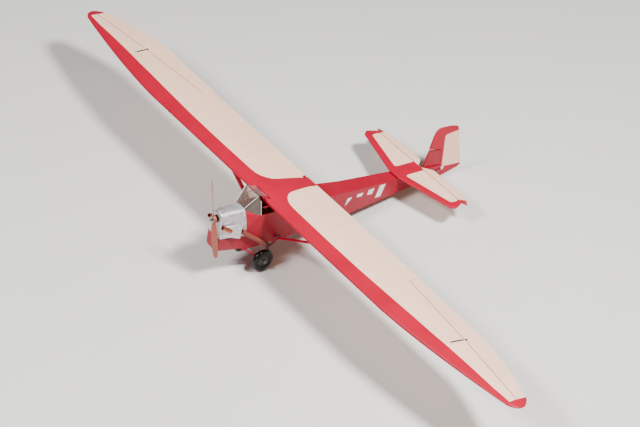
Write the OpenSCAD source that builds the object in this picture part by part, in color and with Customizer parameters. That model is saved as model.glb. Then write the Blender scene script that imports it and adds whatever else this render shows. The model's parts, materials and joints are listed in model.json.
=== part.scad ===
/* [Wing] */
// Distance from the centre line to a wing tip
half_span = 1130; // [1100:5:1160]
// Chord of the straight part of the wing
chord = 206; // [196:1:216]
// Height of the upper surface above the chord line
upper_rise = 18; // [15:0.5:20]
// Depth of the lower surface below the chord line
lower_drop = 6; // [4:0.5:7]
// Thickness of the covered skin
skin = 0.8; // [0.6:0.1:1]
// Spacing of the ribs
rib_pitch = 52; // [46:1:58]
// Distance from the centre line to the inner end of an aileron
aileron_in = 540; // [500:5:580]

/* [Fuselage] */
// Half width of the cabin
cabin_half = 45; // [42:1:50]
// Thickness of the plywood walls
wall = 3; // [2:0.5:4]

/* [Undercarriage] */
// Outer radius of a main tyre
tyre_r = 39; // [38:1:44]
// Distance from the centre line to the middle of a wheel
half_track = 58; // [56:1:62]
// Radius of the axle
axle_r = 2.5; // [2:0.25:3]

/* [Propeller] */
// Diameter of the propeller
prop_d = 254; // [240:1:260]
// Angle at which the propeller is parked, from upright
prop_park = 19; // [0:1:45]

/* [Controls] */
// Radius of every control horn and servo arm at its rod hole
arm_r = 12; // [10:0.5:14]
// Droop of the elevators as parked
elevator_park = 9; // [0:1:12]
// Aileron angle as parked, one up and one down
aileron_park = 5; // [0:1:8]
// Radius of a hinge pin
pin_r = 0.8; // [0.6:0.1:1]

/* [Hidden] */
$fn = 48;
tiny = 0.01;

// Airframe axes: X to the left wing tip, Y aft from the wing's leading edge, Z up from the chord line.

// Wing outline
sweep_start = 600;
sweep_depth = 68;
rake_start = 840;
rake_depth = 78;
tip_start = 1095;
tip_in = 1100;
strip_y = 182;
joint_gap = 0.4;
nose_r = 2;
hinge_in_y = 165;
hinge_out_y = 104;
hinge_z_in = 1.6;
hinge_z_out = 1.2;
hinge_yaw = atan((hinge_in_y - hinge_out_y) / (tip_in - aileron_in));
linkage_x = 837;
linkage_rod = 46;

// Fuselage outline
nose_y = -156;
cowl_end = -70;
sill_y = -20;
sill_z = -38;
deck_z = -44;
belly_z = -156;
split_z = -98;
tail_y = 764;
saddle_y = 112;
saddle_end = 204;
rail_z = -6.4;
firewall_t = 4;

// Engine
hub_y = -168;
thrust_z = -38;
shaft_r = 2.5;
end_r = 1.8;
can_r = 20;
can_front = -148;
mount_front = -116;

// Tail
tail_z = -69;
tail_t = 8;
tail_le_root = 556;
tail_le_tip = 612;
tail_half = 237;
elevator_y = 668;
elevator_chord = 36;
rudder_top = [748, -18];
rudder_foot = [769, -129];
rudder_lean = atan((rudder_foot[0] - rudder_top[0]) / (rudder_top[1] - rudder_foot[1]));
fin_t = 7;
// Where the fixed structure ends ahead of the rudder's nose, at a height z
function stern(z) = rudder_top[0] + (rudder_top[1] - z) * tan(rudder_lean) - nose_r - joint_gap - 0.1;

// Ground stance: the two wheels and the skid touch the floor
wheel_y = 9;
wheel_z = -208;
skid_y = 746;
skid_z = -141;
skid_r = 3;
reach_y = skid_y - wheel_y;
reach_z = skid_z + skid_r - wheel_z;
stance = atan(reach_z / reach_y) + asin((tyre_r - skid_r) / norm([reach_y, reach_z]));
floor_drop = tyre_r + wheel_y * sin(stance) - wheel_z * cos(stance);
middle_y = 320.69;

module stand() {
    translate([0, -middle_y, floor_drop])
        rotate([-stance, 0, 0])
            children();
}

module both() {
    children();
    mirror([1, 0, 0]) children();
}

// A plate drawn in Y and Z, centred on X
module side_plate(points, width) {
    rotate([90, 0, 90])
        translate([0, 0, -width / 2])
            linear_extrude(width) polygon(points);
}

// A round bar between two points
module bar(a, b, r) {
    along = b - a;
    translate(a)
        rotate([0, acos(along[2] / norm(along)), atan2(along[1], along[0])])
            cylinder(r = r, h = norm(along));
}

module block(low, high) {
    translate(low) cube(high - low);
}

// A closed skin through equal rings of points
module loft(rings) {
    sides = len(rings[0]);
    count = len(rings);
    polyhedron(
        points = [for (ring = rings) each ring],
        faces = concat(
            [[for (i = [0:sides - 1]) i]],
            [for (k = [0:count - 2]) for (i = [0:sides - 1])
                let (j = (i + 1) % sides, a = k * sides, b = a + sides)
                each [[a + i, b + i, b + j], [a + i, b + j, a + j]]],
            [[for (i = [sides - 1:-1:0]) (count - 1) * sides + i]]),
        convexity = 6);
}

// Wing section
function bulge(c) = 10 * (0.2969 * sqrt(c) - 0.126 * c - 0.3516 * pow(c, 2)
    + 0.2843 * pow(c, 3) - 0.1036 * pow(c, 4));
function past(x, start, end) = max(0, (x - start) / (end - start));
function round_off(x) = sqrt(max(0.02, 1 - pow(past(x, tip_start, half_span + 1), 2)));
function raw_front(x) = sweep_depth * pow(past(x, sweep_start, half_span), 1.5);
function raw_back(x) = chord - rake_depth * pow(past(x, rake_start, half_span), 1.4);
function middle(x) = (raw_front(x) + raw_back(x)) / 2;
function front(x) = middle(x) - (raw_back(x) - raw_front(x)) / 2 * round_off(x);
function back(x) = middle(x) + (raw_back(x) - raw_front(x)) / 2 * round_off(x);
function part_of(x, y) = min(1, max(0, (y - front(x)) / (back(x) - front(x))));
function size_at(x) = (back(x) - front(x)) / chord;
function top(x, y) = upper_rise * size_at(x) * bulge(part_of(x, y));
function under(x, y) = -lower_drop * size_at(x) * sqrt(max(0, bulge(part_of(x, y))));
function hinge_y(x) = hinge_in_y + (x - aileron_in) * (hinge_out_y - hinge_in_y) / (tip_in - aileron_in);
function hinge_z(x) = hinge_z_in + (x - aileron_in) * (hinge_z_out - hinge_z_in) / (tip_in - aileron_in);
function cover_end(x) = x < aileron_in ? strip_y - 0.05 : hinge_y(x) - nose_r - joint_gap;
skin_steps = 12;
function skin_y(x, i, inset) =
    let (a = front(x) + inset, b = cover_end(x)) a + (b - a) * pow(i / skin_steps, 1.8);
function skin_ring(x) = concat(
    [for (i = [skin_steps:-1:0]) let (y = skin_y(x, i, 0)) [x, y, top(x, y)]],
    [for (i = [1:skin_steps]) let (y = skin_y(x, i, 0)) [x, y, under(x, y)]],
    [for (i = [skin_steps:-1:1]) let (y = skin_y(x, i, 2 * skin)) [x, y, under(x, y) + skin]],
    [for (i = [0:skin_steps])
        let (y = skin_y(x, i, 2 * skin)) [x, y, max(top(x, y) - skin, under(x, y) + skin + tiny)]]);
cover_stations = [0.2, 270, aileron_in - 0.1, aileron_in, 600, 680, 760, 840, 900, 960, 1010, 1050,
    1080, tip_in - 0.2];

module left_wing_cover() {
    color("crimson") difference() {
        loft([for (x = cover_stations) skin_ring(x)]);
        at_aileron_servo() block([-4.6, -8, 0], [2, linkage_rod + 6, 30]);
    }
}
module right_wing_cover() {
    mirror([1, 0, 0]) left_wing_cover();
}

// Solid wing tip, carved from one block
tip_steps = 10;
function tip_ring(x) = concat(
    [for (i = [tip_steps:-1:0])
        let (y = front(x) + (back(x) - front(x)) * pow(i / tip_steps, 1.6)) [x, y, top(x, y) + 0.1]],
    [for (i = [1:tip_steps])
        let (y = front(x) + (back(x) - front(x)) * pow(i / tip_steps, 1.6)) [x, y, under(x, y) - 0.1]]);

module wing_tips() {
    color("crimson") both()
        loft([for (x = [tip_in, 1108, 1115, 1121, 1126, half_span]) tip_ring(x)]);
}

// Ribs fit inside the skin, with a slot for each spar
fit = 0.15;
spar_y = 58;
spar_t = 7;
function rib_points(x, a, b) = concat(
    [for (i = [0:10]) let (y = a + (b - a) * i / 10) [y, top(x, y) - skin - fit]],
    [for (i = [10:-1:0]) let (y = a + (b - a) * i / 10) [y, under(x, y) + skin + fit]]);

module rib(x) {
    a = front(x) + 5;
    b = cover_end(x) - (x < aileron_in ? 1 : 5);
    translate([x, 0, 0]) difference() {
        side_plate(rib_points(x, a, b), 2);
        block([-5, spar_y - fit, -30], [5, spar_y + spar_t + fit, 30]);
        translate([0, spar_y + 45, (upper_rise - lower_drop) / 2 - 1])
            rotate([0, 90, 0]) cylinder(r = 5.6, h = 10, center = true);
    }
}

module wing_ribs() {
    color("burlywood") both()
        for (k = [0:floor((tip_in - 60) / rib_pitch)])
            if (abs(4 + k * rib_pitch - linkage_x) > 16) rib(4 + k * rib_pitch);
}

module wing_spars() {
    spar_out = 950;
    color("tan") both() {
        rotate([90, 0, 0]) translate([0, 0, -spar_y - spar_t]) linear_extrude(spar_t)
            polygon([[0.2, -4.6], [sweep_start, -4.6], [spar_out, -2.6], [spar_out, 8],
                [sweep_start, 15.6], [0.2, 15.6]]);
        translate([aileron_in + 1, hinge_in_y - nose_r - joint_gap - 4.4, 0]) rotate([90, 0, -hinge_yaw])
            translate([0, 0, -3]) linear_extrude(3)
                polygon([[0, -2.6], [552, -0.6], [552, 2.6], [0, 5.8]]);
    }
}

module wing_trailing_edges() {
    x = aileron_in - 0.6;
    ys = [strip_y, 190, 198, chord];
    color("burlywood") both() translate([x / 2 + 0.2, 0, 0])
        side_plate(concat([for (y = ys) [y, top(0, y) + 0.4]],
            [for (k = [3:-1:0]) [ys[k], under(0, ys[k]) - 0.4]]), x);
}

joiner_y = spar_y + 45;
joiner_z = (upper_rise - lower_drop) / 2 - 1;

module wing_joiner() {
    color("silver") translate([0, joiner_y, joiner_z]) rotate([0, 90, 0]) difference() {
        cylinder(r = 5.5, h = 400, center = true);
        cylinder(r = 4.5, h = 402, center = true);
    }
}

module wing_bolts() {
    color("crimson") for (x = [-24, 24]) translate([x, 192, 0]) {
        translate([0, 0, 5.2]) cylinder(r = 5, h = 2.5);
        translate([0, 0, -30]) cylinder(r = 2.5, h = 22.4);
    }
}

// Control surfaces share one nose shape: two bevels that meet ahead of the hinge pin
function aileron_ring(x) =
    let (h = hinge_y(x), z = hinge_z(x), r = nose_r, t = back(x) - 0.2,
        deep = top(x, h + 4) - z, low = z - under(x, h + 4), m = (h + t) / 2)
    [[x, h - r, z], [x, h - r + deep, z + deep], [x, m, max(top(x, m), 0.5)], [x, t, 0.5], [x, t, -0.5],
        [x, m, min(under(x, m), -0.5)], [x, h - r + low, z - low]];
aileron_stations = [aileron_in + 0.6, 680, 760, linkage_x, 900, 960, 1010, 1050, 1080, tip_in - 0.6];

// Frame at a hinge line point of an aileron: X along the pin
module at_aileron(x) {
    translate([x, hinge_y(x), hinge_z(x)])
        rotate([0, atan((hinge_z_in - hinge_z_out) / (tip_in - aileron_in)), -hinge_yaw]) children();
}

module aileron_swing(angle) {
    at_aileron(linkage_x) rotate([angle, 0, 0])
        rotate([0, 0, hinge_yaw]) rotate([0, -atan((hinge_z_in - hinge_z_out) / (tip_in - aileron_in)), 0])
            translate([-linkage_x, -hinge_y(linkage_x), -hinge_z(linkage_x)]) children();
}

post_w = 5;
leaf_reach = nose_r + joint_gap + 1;
aileron_posts = [600, 780, 960];
module hinge_notch() {
    block([-post_w / 2 - 0.5, -8, -8], [post_w / 2 + 0.5, 3, 8]);
    rotate([0, 90, 0]) cylinder(r = pin_r + 0.06, h = 16, center = true);
}

module hinge_post() {
    rotate([0, 90, 0]) cylinder(r = pin_r, h = 15, center = true);
    difference() {
        union() {
            rotate([0, 90, 0]) cylinder(r = 2.2, h = post_w, center = true);
            block([-post_w / 2, -leaf_reach, -1], [post_w / 2, 0, 1]);
        }
        rotate([0, 90, 0]) cylinder(r = pin_r, h = post_w + 1, center = true);
    }
}

module aileron_body() {
    difference() {
        loft([for (x = aileron_stations) aileron_ring(x)]);
        for (x = aileron_posts) at_aileron(x) hinge_notch();
        at_aileron(linkage_x) block([-1.1, 1.5, -0.3], [1.1, 14, 20]);
    }
}

module left_aileron() { color("crimson") aileron_swing(-aileron_park) aileron_body(); }
module right_aileron() { color("crimson") mirror([1, 0, 0]) aileron_swing(aileron_park) aileron_body(); }

// Arm along X from a pivot on Z, with a rod hole at arm_r and a bore for the shaft
module flat_arm(width, shaft) {
    difference() {
        hull() {
            translate([arm_r, 0, 0]) cylinder(r = 2.6, h = width, center = true);
            cylinder(r = 4, h = width, center = true);
        }
        translate([arm_r, 0, 0]) cylinder(r = pin_r + 0.06, h = width + 1, center = true);
        cylinder(r = shaft, h = width + 1, center = true);
    }
}
// The same arm turned to point up, its pivot on X
module arm_plate(width, shaft) {
    rotate([0, -90, 0]) flat_arm(width, shaft);
}

module aileron_horn() {
    rotate([0, 90, 0]) difference() {
        hull() {
            translate([-arm_r, 0, 0]) cylinder(r = 2.6, h = 1.6, center = true);
            translate([-3, 8, 0]) cylinder(r = 3, h = 1.6, center = true);
        }
        translate([-arm_r, 0, 0]) cylinder(r = pin_r + 0.06, h = 3, center = true);
    }
}

module left_aileron_horn() {
    color("dimgray") aileron_swing(-aileron_park) at_aileron(linkage_x) aileron_horn();
}
module right_aileron_horn() {
    color("dimgray") mirror([1, 0, 0]) aileron_swing(aileron_park) at_aileron(linkage_x) aileron_horn();
}

// Aileron servo lies in the wing, its output axis parallel to the hinge line
module at_aileron_servo() {
    at_aileron(linkage_x) translate([0, -linkage_rod, 0]) children();
}
module aileron_servos() {
    color("dimgray") both() at_aileron_servo() {
        block([2, -14, -3.4], [13, 8, 6.5]);
        translate([-0.8, 0, 0]) rotate([0, 90, 0]) cylinder(r = servo_shaft, h = 3);
    }
}
servo_shaft = 2;
module servo_arm(width) {
    arm_plate(width, servo_shaft + 0.06);
}
module left_servo_arm() {
    color("white") at_aileron_servo() rotate([-aileron_park, 0, 0]) servo_arm(1.6);
}
module right_servo_arm() {
    color("white") mirror([1, 0, 0]) at_aileron_servo() rotate([aileron_park, 0, 0]) servo_arm(1.6);
}
// Rod with a bent pin at each end, drawn from the arm's hole towards +Y
module rod(length, side, r) {
    bar([side, 0, 0], [side, length, 0], r);
    for (y = [0, length]) {
        bar([side, y, 0], [-side * 0.6, y, 0], pin_r);
        translate([side, y, 0]) sphere(r = r);
    }
}
module aileron_rod(angle) {
    at_aileron_servo() translate([0, -arm_r * sin(angle), arm_r * cos(angle)]) rod(linkage_rod, -2.4, 1);
}
module left_aileron_pushrod() { color("silver") aileron_rod(-aileron_park); }
module right_aileron_pushrod() { color("silver") mirror([1, 0, 0]) aileron_rod(aileron_park); }

// Half of a nose section, from the lower corner up to the ridge
rear_half = [[46, split_z], [46, -74], [40.5, -51], [31, -30], [24, -18.5], [16, -14], [0, -13]];
front_half = [[30, split_z], [27, -60], [25.5, -38], [22, -25], [15, -16], [7, -13], [0, -12.5]];
function whole(half) = concat(half, [for (k = [len(half) - 1:-1:0]) [-half[k][0], half[k][1]]]);
module slice(points, y, inset) {
    translate([0, y, 0]) rotate([90, 0, 0]) linear_extrude(0.2) offset(delta = -inset) polygon(points);
}

// Fuselage: a side view and a plan view cut from each other, behind a lofted front
side_view = [[sill_y, sill_z], [saddle_y - 4, sill_z], [saddle_y, -8], [saddle_end, -8],
    [212, deck_z], [350, -61], [557, -74], [stern(-84), -84], [stern(-127), -127], [570, -133], [360, -150],
    [250, belly_z], [sill_y, belly_z]];
plan_half = [[sill_y, cabin_half], [150, cabin_half], [250, 38], [360, 32], [570, 22], [tail_y + 20, 5]];
function widened(extra) = concat([for (p = plan_half) [p[1] + extra, p[0]]],
    [for (k = [len(plan_half) - 1:-1:0]) [-plan_half[k][1] - extra, plan_half[k][0]]]);
inner_view = [[sill_y, 10], [saddle_end - wall, 10], [209, deck_z - wall], [350, -64],
    [557, -77], [tail_y - 30, -85], [tail_y - 30, -124], [570, -130], [360, -147], [250, belly_z + wall],
    [sill_y, belly_z + wall]];
front_rear = whole(concat([[42, -154]], rear_half));
sill_box = [[-cabin_half, belly_z], [cabin_half, belly_z], [cabin_half, sill_z], [-cabin_half, sill_z]];
function slot_view(half, low) = [[-half, low], [half, low], [half, 10], [-half, 10]];

module fuselage_shell() {
    color("crimson") difference() {
        union() {
            intersection() {
                side_plate(side_view, 200);
                translate([0, 0, -300]) linear_extrude(400) polygon(widened(0));
            }
            hull() {
                slice(front_rear, cowl_end + 0.2, 0);
                slice(sill_box, sill_y + 0.2, 0);
            }
            both() block([42.2, -16, -10], [44.6, saddle_y, -8]);
            both() bar([43.2, 50, -40], [43.2, 50, -9], 1.7);
        }
        intersection() {
            side_plate(inner_view, 200);
            translate([0, 0, -300]) linear_extrude(400) polygon(widened(-wall));
        }
        hull() {
            slice(front_rear, cowl_end + 0.1, wall);
            slice(sill_box, sill_y + 0.3, wall);
        }
        hull() {
            slice(slot_view(19, -30), cowl_end + 4, 0);
            slice(slot_view(cabin_half - wall - 0.5, -48), sill_y + 0.3, 0);
        }
        at_rudder_servo() block([5, -8, -3.6], [24, 125, 4.4]);
        block([-8, 600, -92], [8, 680, tail_z + 22]);
        stern_notches();
        translate([0, 0, -300]) for (x = [-24, 24]) translate([x, 192, 0]) cylinder(r = 2.6, h = 400);
    }
}

firewall_half = [[34, -146], [34, -52], [26, -31], [17, -22]];
module firewall() {
    color("burlywood") translate([0, cowl_end + 0.3 + firewall_t, 0]) rotate([90, 0, 0]) difference() {
        linear_extrude(firewall_t) polygon(whole(firewall_half));
        translate([0, -120, 0]) cylinder(r = 8, h = 20, center = true);
    }
}

module cowl_form(inset) {
    hull() {
        slice(whole(front_half), nose_y + 0.2 + inset, inset);
        slice(whole(rear_half), cowl_end + inset, inset);
    }
}
module cowl() {
    color("silver") difference() {
        cowl_form(0);
        difference() {
            cowl_form(1.5);
            block([-60, nose_y - 1, -200], [60, nose_y + 1.5, 0]);
        }
        block([-44, cowl_end - 2, split_z + 1.5], [44, cowl_end + 1, -76]);
        hull() {
            slice(whole(rear_half), cowl_end - 1.4, 1.5);
            slice(whole(rear_half), cowl_end + 1, 1.5);
        }
        translate([0, nose_y, thrust_z]) rotate([90, 0, 0]) cylinder(r = 12, h = 20, center = true);
    }
}
// Covers over the cylinders, open behind
module cylinder_fairings() {
    color("silver") both() difference() {
        hull() {
            block([31, -149, -88], [33, -148, -52]);
            block([42, -101, -91], [60, -100, -46]);
        }
        hull() {
            block([30, -146, -86], [31, -145, -54]);
            block([41, -101, -89.5], [58.5, -99, -47.5]);
        }
        cowl_form(-0.15);
        bar(stub_low, stub_end, stub_r + 0.15);
    }
}
stub_low = [43, -126, -67];
stub_end = [35.5, -157, -50];
stub_r = 6.8;
pipe_wall = 1.2;
module exhaust_stubs() {
    color("peru") both() difference() {
        bar(stub_low, stub_end, stub_r);
        bar(stub_low, stub_end + (stub_end - stub_low) * 0.01, stub_r - pipe_wall);
        cowl_form(-0.15);
    }
}
pipe_front = [53.5, -94.8, -69];
pipe_r = 7.6;
pipe_end = [60, 19, -154];
module exhaust_pipes() {
    color("sienna") both() difference() {
        union() {
            bar(pipe_front, pipe_end, pipe_r);
            block([45.5, -33, -121], [53, -27, -113]);
        }
        bar(pipe_front, pipe_end + (pipe_end - pipe_front) * 0.01, pipe_r - pipe_wall);
    }
}

pan_front = [[30, split_z - 0.3], [30, -138], [27, -146], [20, -150]];
pan_rear = [[46, split_z - 0.3], [46, -138], [42, -150], [34, -154.5]];
module nose_pan() {
    color("crimson") difference() {
        hull() {
            slice(whole(pan_front), nose_y + 0.2, 0);
            slice(whole(pan_rear), cowl_end - 0.2, 0);
        }
        hull() {
            slice(whole(pan_front), nose_y + 2.2, 2);
            slice(whole(pan_rear), cowl_end, 2);
        }
        block([-43, nose_y + 5, split_z - 3], [43, cowl_end - 2, split_z + 1]);
    }
}

module along_thrust(y) {
    translate([0, y, thrust_z]) rotate([-90, 0, 0]) children();
}
module motor_mount() {
    color("silver") along_thrust(mount_front) {
        for (a = [45:90:315]) rotate([0, 0, a]) translate([17, 0, 2]) cylinder(r = 2.5, h = cowl_end - mount_front - 2);
        difference() {
            cylinder(r = 21, h = 2);
            translate([0, 0, -1]) cylinder(r = 6, h = 4);
        }
    }
}
module motor_stator() {
    color("peru") along_thrust(can_front) difference() {
        union() {
            translate([0, 0, 4]) cylinder(r = 16, h = 22);
            translate([0, 0, 26]) cylinder(r = 12, h = 5.9);
        }
        translate([0, 0, 3]) cylinder(r = shaft_r + 0.06, h = 40);
    }
}
module motor_can() {
    color("dimgray") along_thrust(can_front) {
        difference() {
            cylinder(r = can_r, h = 27);
            translate([0, 0, 2.5]) cylinder(r = 17, h = 30);
        }
        translate([0, 0, -29.8]) cylinder(r = shaft_r, h = 59.3);
        translate([0, 0, -33]) cylinder(r = end_r, h = 3.3);
    }
}
blade_steps = 10;
function blade_chord(f) = 10 + 20 * sin(180 * pow(f, 0.8) * 0.86) + 2 * f;
function blade_ring(f) =
    let (r = 9 + f * (prop_d / 2 - 9), w = blade_chord(f) * 0.38, a = 34 * sqrt(f) - 48, t = 5.2 - 3.8 * f)
    [for (k = [0:11]) let (u = cos(30 * k) * w, v = sin(30 * k) * t / 2)
        [r, u * cos(a) - v * sin(a), u * sin(a) + v * cos(a)]];
module blade() {
    loft([for (k = [0:blade_steps]) blade_ring(k / blade_steps)]);
}
module propeller() {
    color("sienna") along_thrust(hub_y) rotate([0, 0, 90 - prop_park]) difference() {
        union() {
            translate([0, 0, -5]) cylinder(r = 13, h = 10);
            for (turn = [0, 180]) rotate([0, 0, turn]) blade();
        }
        translate([0, 0, -20]) cylinder(r = shaft_r + 0.02, h = 40);
    }
}
module prop_nut() {
    color("silver") along_thrust(hub_y - 9.6) difference() {
        union() {
            translate([0, 0, 3.5]) cylinder(r = 8, h = 1);
            cylinder(r = 4.6, h = 3.5, $fn = 6);
        }
        translate([0, 0, -1]) cylinder(r = shaft_r + 0.02, h = 8);
    }
}

// Equipment inside the fuselage
tray_z = -120;
module equipment_tray() {
    color("burlywood") block([-38, -62, tray_z - 3], [38, 200, tray_z]);
}
module battery() { color("royalblue") block([-21, -56, tray_z + 0.2], [21, 70, tray_z + 26]); }
module speed_controller() { color("darkgreen") block([-16, -65, -88], [16, -60, -40]); }
module receiver() { color("black") block([-34, 84, tray_z + 0.2], [-10, 128, tray_z + 12]); }

module seat() {
    color("saddlebrown") both() {
        block([3, 40, -92], [38, 80, -78]);
        side_tilt(80);
    }
}
module side_tilt(y) {
    translate([0, y, -78]) rotate([-12, 0, 0]) block([3, 1, 0], [38, 9, 48]);
}
module cabin_bulkhead() {
    color("burlywood") difference() {
        block([-41.8, 104, tray_z + 14], [41.8, 107, -8]);
        block([-24, 103, tray_z + 20], [24, 108, -50]);
    }
}
module instrument_panel() {
    color("black") difference() {
        translate([0, -52, 0]) side_plate([[0, -60], [3, -60], [3, -30], [0, -29]], 56);
        for (x = [-18, 0, 18]) translate([x, -54, -42]) rotate([-90, 0, 0]) cylinder(r = 7, h = 3.2);
    }
}

// Glazing
module pane(a, b, c, d, t) {
    hull() for (p = [a, b, c, d]) translate(p) cube([t, t, t], center = true);
}
glass_t = 1;
screen_foot = [20, -70, -12];
screen_top = [30, -33, 32];
side_foot = [24, -68.5, -17.6];
sill_corner = [43.6, -21, -36.4];
post_top = [36.5, -25, 12];
roof_back = [34, 13, 13.6];
function across(p) = [-p[0], p[1], p[2]];
module glazing() {
    color("slategray") {
        pane(screen_foot, across(screen_foot), screen_top, across(screen_top), glass_t);
        pane(screen_top + [0, 1.4, 0.2], across(screen_top) + [0, 1.4, 0.2], roof_back, across(roof_back), glass_t);
        both() pane(side_foot, sill_corner, post_top, screen_top + [1.8, 0.8, 0], glass_t);
    }
}
module glazing_frame() {
    color("gainsboro") both() {
        bar(screen_foot + [2.2, -2.4, 1], screen_top + [2.6, -1.4, 0.6], 1);
        bar(sill_corner + [0, 2.2, 0.6], post_top + [0, 2.2, 0], 1);
    }
}

// Struts, brackets and undercarriage
strut_low = [50.5, 62, -144];
strut_high = [278, 56, -12];
strut_t = 3.2;
strut_w = 8.3;
module wing_struts() {
    color("crimson") both() strut_form(strut_low, strut_high);
}
module strut_form(a, b) {
    along = b - a;
    difference() {
        translate(a) rotate([0, 0, atan2(along[1], along[0])])
            rotate([0, acos(along[2] / norm(along)), 0])
                linear_extrude(norm(along)) polygon([for (k = [0:23])
                    let (a = 15 * k) [strut_t * cos(a), strut_w * sin(a)]]);
        for (p = [a, b]) translate(p) rotate([90, 0, 0]) cylinder(r = 1.6, h = 40, center = true);
    }
}
module strut_brackets() {
    color("silver") both() {
        block([45.2, 57, -150], [46.4, 67, -136]);
        block([45.2, 72.2, -146], [53, 73.6, -139]);
        block([45.2, 57, -141], [46.4, 73.6, -139]);
        translate(strut_low) rotate([90, 0, 0]) cylinder(r = 1.5, h = 23, center = true);
        translate(strut_high) rotate([90, 0, 0]) cylinder(r = 1.5, h = 22, center = true);
        for (y = [45.4, 65.2]) block([275, y, -14], [281, y + 1.4, -6.3]);
    }
}
leg_r = 3;
module undercarriage() {
    color("crimson") both() {
        for (y = [-60, 70]) block([33, y - 7, -160], [43, y + 7, belly_z - 0.1]);
        bar([38, -60, -158.5], [half_track - 17, wheel_y - 3, wheel_z + 4], leg_r);
        bar([38, 70, -158.5], [half_track - 17, wheel_y + 3, wheel_z + 4], leg_r);
        difference() {
            translate([half_track - 20, wheel_y, wheel_z]) rotate([0, 90, 0]) cylinder(r = 7, h = 6);
            translate([0, wheel_y, wheel_z]) rotate([0, 90, 0]) cylinder(r = axle_r + 0.02, h = 200);
        }
    }
}
module axle() {
    color("silver") translate([0, wheel_y, wheel_z]) rotate([0, 90, 0])
        union() {
            cylinder(r = axle_r, h = 2 * half_track + 32, center = true);
            cylinder(r = end_r, h = 2 * half_track + 41, center = true);
        }
}
module ring(r_in, r_out, x0, x1) {
    translate([x0, wheel_y, wheel_z]) rotate([0, 90, 0]) difference() {
        cylinder(r = r_out, h = x1 - x0);
        translate([0, 0, -1]) cylinder(r = r_in, h = x1 - x0 + 2);
    }
}
module wheel_collars() {
    color("silver") both() {
        ring(axle_r + 0.02, 5, half_track + 11.5, half_track + 15.5);
        ring(axle_r + 0.02, 5, half_track - 13.6, half_track - 11.5);
    }
}
tyre_half = 10;
tyre_round = 11.5;
hub_r = 18;
module tyre() {
    translate([half_track, wheel_y, wheel_z]) rotate([0, 90, 0]) rotate_extrude($fn = 96) difference() {
        translate([tyre_r - tyre_round, 0]) scale([tyre_round, tyre_half]) circle(r = 1);
        translate([0, -15]) square([hub_r + 0.05, 30]);
    }
}
module hub() {
    color("gray") translate([half_track, wheel_y, wheel_z]) rotate([0, 90, 0]) difference() {
        union() {
            translate([0, 0, -8]) cylinder(r = hub_r, h = 16);
            translate([0, 0, -11]) cylinder(r = 7, h = 22);
        }
        translate([0, 0, -12]) cylinder(r = axle_r + 0.06, h = 24);
        for (z = [-9, 5]) translate([0, 0, z]) difference() {
            cylinder(r = 16, h = 4);
            translate([0, 0, -1]) cylinder(r = 8, h = 6);
        }
    }
}
module left_tyre() { color("black") tyre(); }
module right_tyre() { color("black") mirror([1, 0, 0]) tyre(); }
module left_hub() { hub(); }
module right_hub() { mirror([1, 0, 0]) hub(); }

module tail_skid() {
    color("silver") {
        bar([0, 690, -131.5], [0, skid_y, skid_z + skid_r], 2);
        translate([0, skid_y, skid_z + skid_r]) sphere(r = skid_r);
    }
}

// Tail surfaces
module flat_plate(points, z, t) {
    translate([0, 0, z - t / 2]) linear_extrude(t) polygon(points);
}
elevator_root = 12;
module tailplane() {
    tip = 14;
    edge = elevator_y - nose_r - joint_gap;
    color("crimson") difference() {
        flat_plate([[24, tail_le_root], [tail_half - tip, tail_le_tip - 2], [tail_half, tail_le_tip + tip],
            [tail_half - 16, edge], [-tail_half + 16, edge], [-tail_half, tail_le_tip + tip],
            [-tail_half + tip, tail_le_tip - 2], [-24, tail_le_root]], tail_z, tail_t);
        for (x = [-150, -60, 60, 150]) translate([x, elevator_y, tail_z])
            block([-post_w / 2 - 0.1, -leaf_reach, -5], [post_w / 2 + 0.1, 2, 5]);
        translate([0, elevator_y, tail_z]) block([-2, -8.5, -9], [2, 4, 9]);
    }
}
module nose_bevel(length) {
    rotate([90, 0, 90]) linear_extrude(length, center = true)
        polygon([[-nose_r, 0], [10, 12], [-20, 12], [-20, -12], [10, -12]]);
}
module at_elevator() {
    translate([0, elevator_y, tail_z]) children();
}
module elevator_swing() {
    at_elevator() rotate([-elevator_park, 0, 0]) children();
}
module elevator() {
    c = elevator_chord;
    color("blanchedalmond") elevator_swing() {
        both() difference() {
            flat_plate([[elevator_root, -nose_r], [tail_half - 16, -nose_r], [tail_half - 2, 10],
                [tail_half - 30, c * 0.75], [180, c], [34, c], [elevator_root, 8]], 0, 7);
            nose_bevel(2 * tail_half + 20);
            for (x = [60, 150]) translate([x, 0, 0]) hinge_notch();
            rotate([0, 90, 0]) cylinder(r = 1.5, h = 60);
        }
        rotate([0, 90, 0]) cylinder(r = 1.5, h = 59, center = true);
    }
}
module elevator_horn() {
    color("dimgray") elevator_swing() mirror([0, 0, 1]) arm_plate(2, 1.5);
}

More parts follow.
